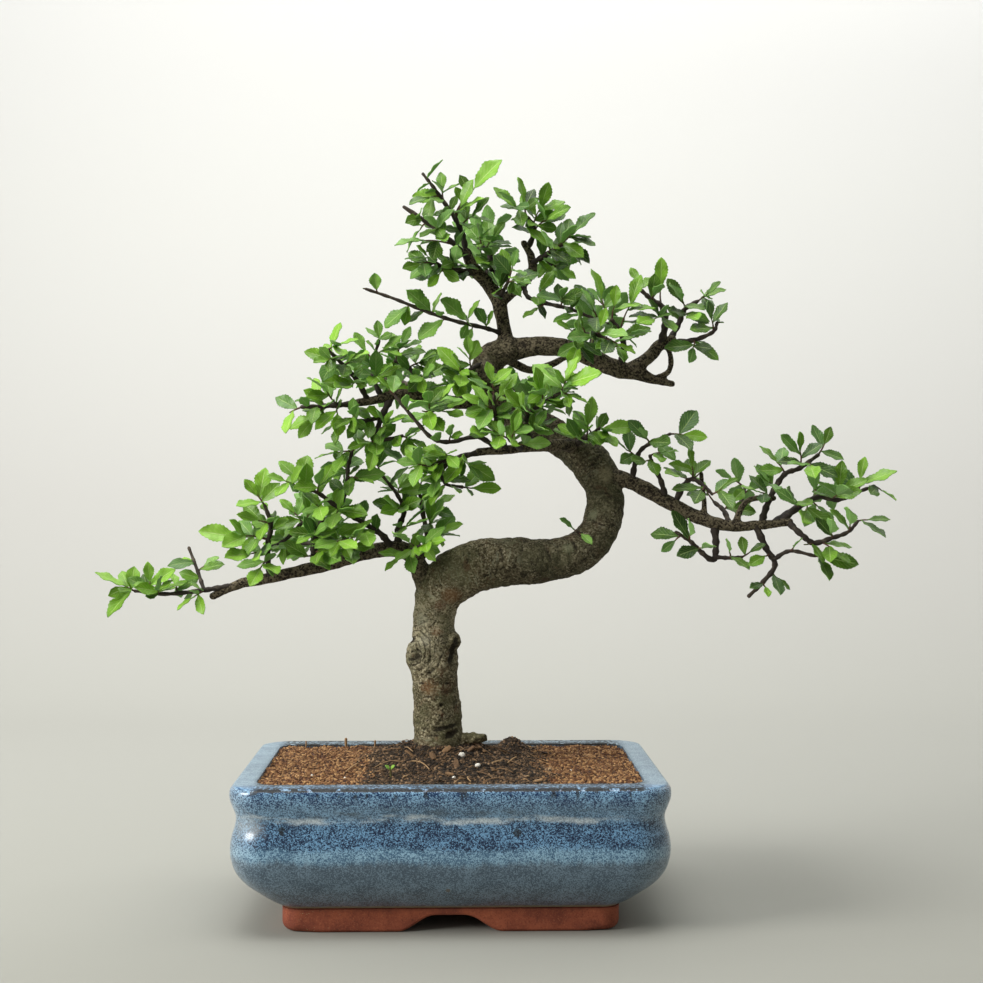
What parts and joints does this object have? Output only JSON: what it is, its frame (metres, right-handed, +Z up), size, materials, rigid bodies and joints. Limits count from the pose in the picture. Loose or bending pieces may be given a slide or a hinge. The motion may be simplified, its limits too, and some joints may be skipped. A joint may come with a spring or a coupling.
{
  "type": "chinese elm bonsai",
  "caption": "Potted chinese elm bonsai with an S-shaped trunk, leafy sprays and a glazed rectangular pot of soil.",
  "frame": {"origin": "on the standing surface, at the middle of the footprint of the whole object", "axes": "+X to the right along the pot, +Y to the back, +Z up"},
  "size_m": [0.453, 0.1692, 0.4255],
  "materials": {
    "pot": "mottled blue glaze over a bare red clay foot",
    "soil": "loose baked clay granules, peat and bark",
    "bark": "rough grey-brown bark",
    "leaf": "satin green leaf",
    "screen_mesh": "matt",
    "perlite": "dull white grain"
  },
  "bodies": {
    "root": {"drain_screen_left": "screen_mesh", "drain_screen_right": "screen_mesh", "perlite_1": "perlite", "perlite_2": "perlite", "pot": "pot", "seedling": "leaf", "soil": "soil", "spray_arc": "leaf", "spray_centre_back": "leaf", "spray_centre_east": "leaf", "spray_centre_front": "leaf", "spray_centre_rise": "leaf", "spray_centre_tail": "leaf", "spray_centre_west": "leaf", "spray_crown_back": "leaf", "spray_crown_core": "leaf", "spray_crown_east": "leaf", "spray_crown_front": "leaf", "spray_crown_mast": "leaf", "spray_crown_stub": "leaf", "spray_crown_top": "leaf", "spray_crown_west": "leaf", "spray_low_back": "leaf", "spray_low_east": "leaf", "spray_low_front": "leaf", "spray_low_long": "leaf", "spray_low_middle": "leaf", "spray_low_red": "leaf", "spray_low_rise": "leaf", "spray_low_stub": "leaf", "spray_low_tip": "leaf", "spray_middle_back": "leaf", "spray_middle_drop": "leaf", "spray_middle_fork": "leaf", "spray_middle_front": "leaf", "spray_middle_mast": "leaf", "spray_middle_rise": "leaf", "spray_middle_sprig": "leaf", "spray_middle_west": "leaf", "spray_right_back": "leaf", "spray_right_back_far": "leaf", "spray_right_crook": "leaf", "spray_right_crown": "leaf", "spray_right_drop": "leaf", "spray_right_first": "leaf", "spray_right_hang": "leaf", "spray_right_rear": "leaf", "spray_right_spread": "leaf", "spray_right_tip": "leaf", "spray_right_twin": "leaf", "spray_trunk_sprig": "leaf", "spray_upper_back": "leaf", "spray_upper_east": "leaf", "spray_upper_far": "leaf", "spray_upper_front": "leaf", "spray_upper_knot": "leaf", "spray_upper_rise": "leaf", "spray_upper_twig": "leaf", "spray_wisp": "leaf", "tree_wood": "bark"}
  },
  "joints": []
}
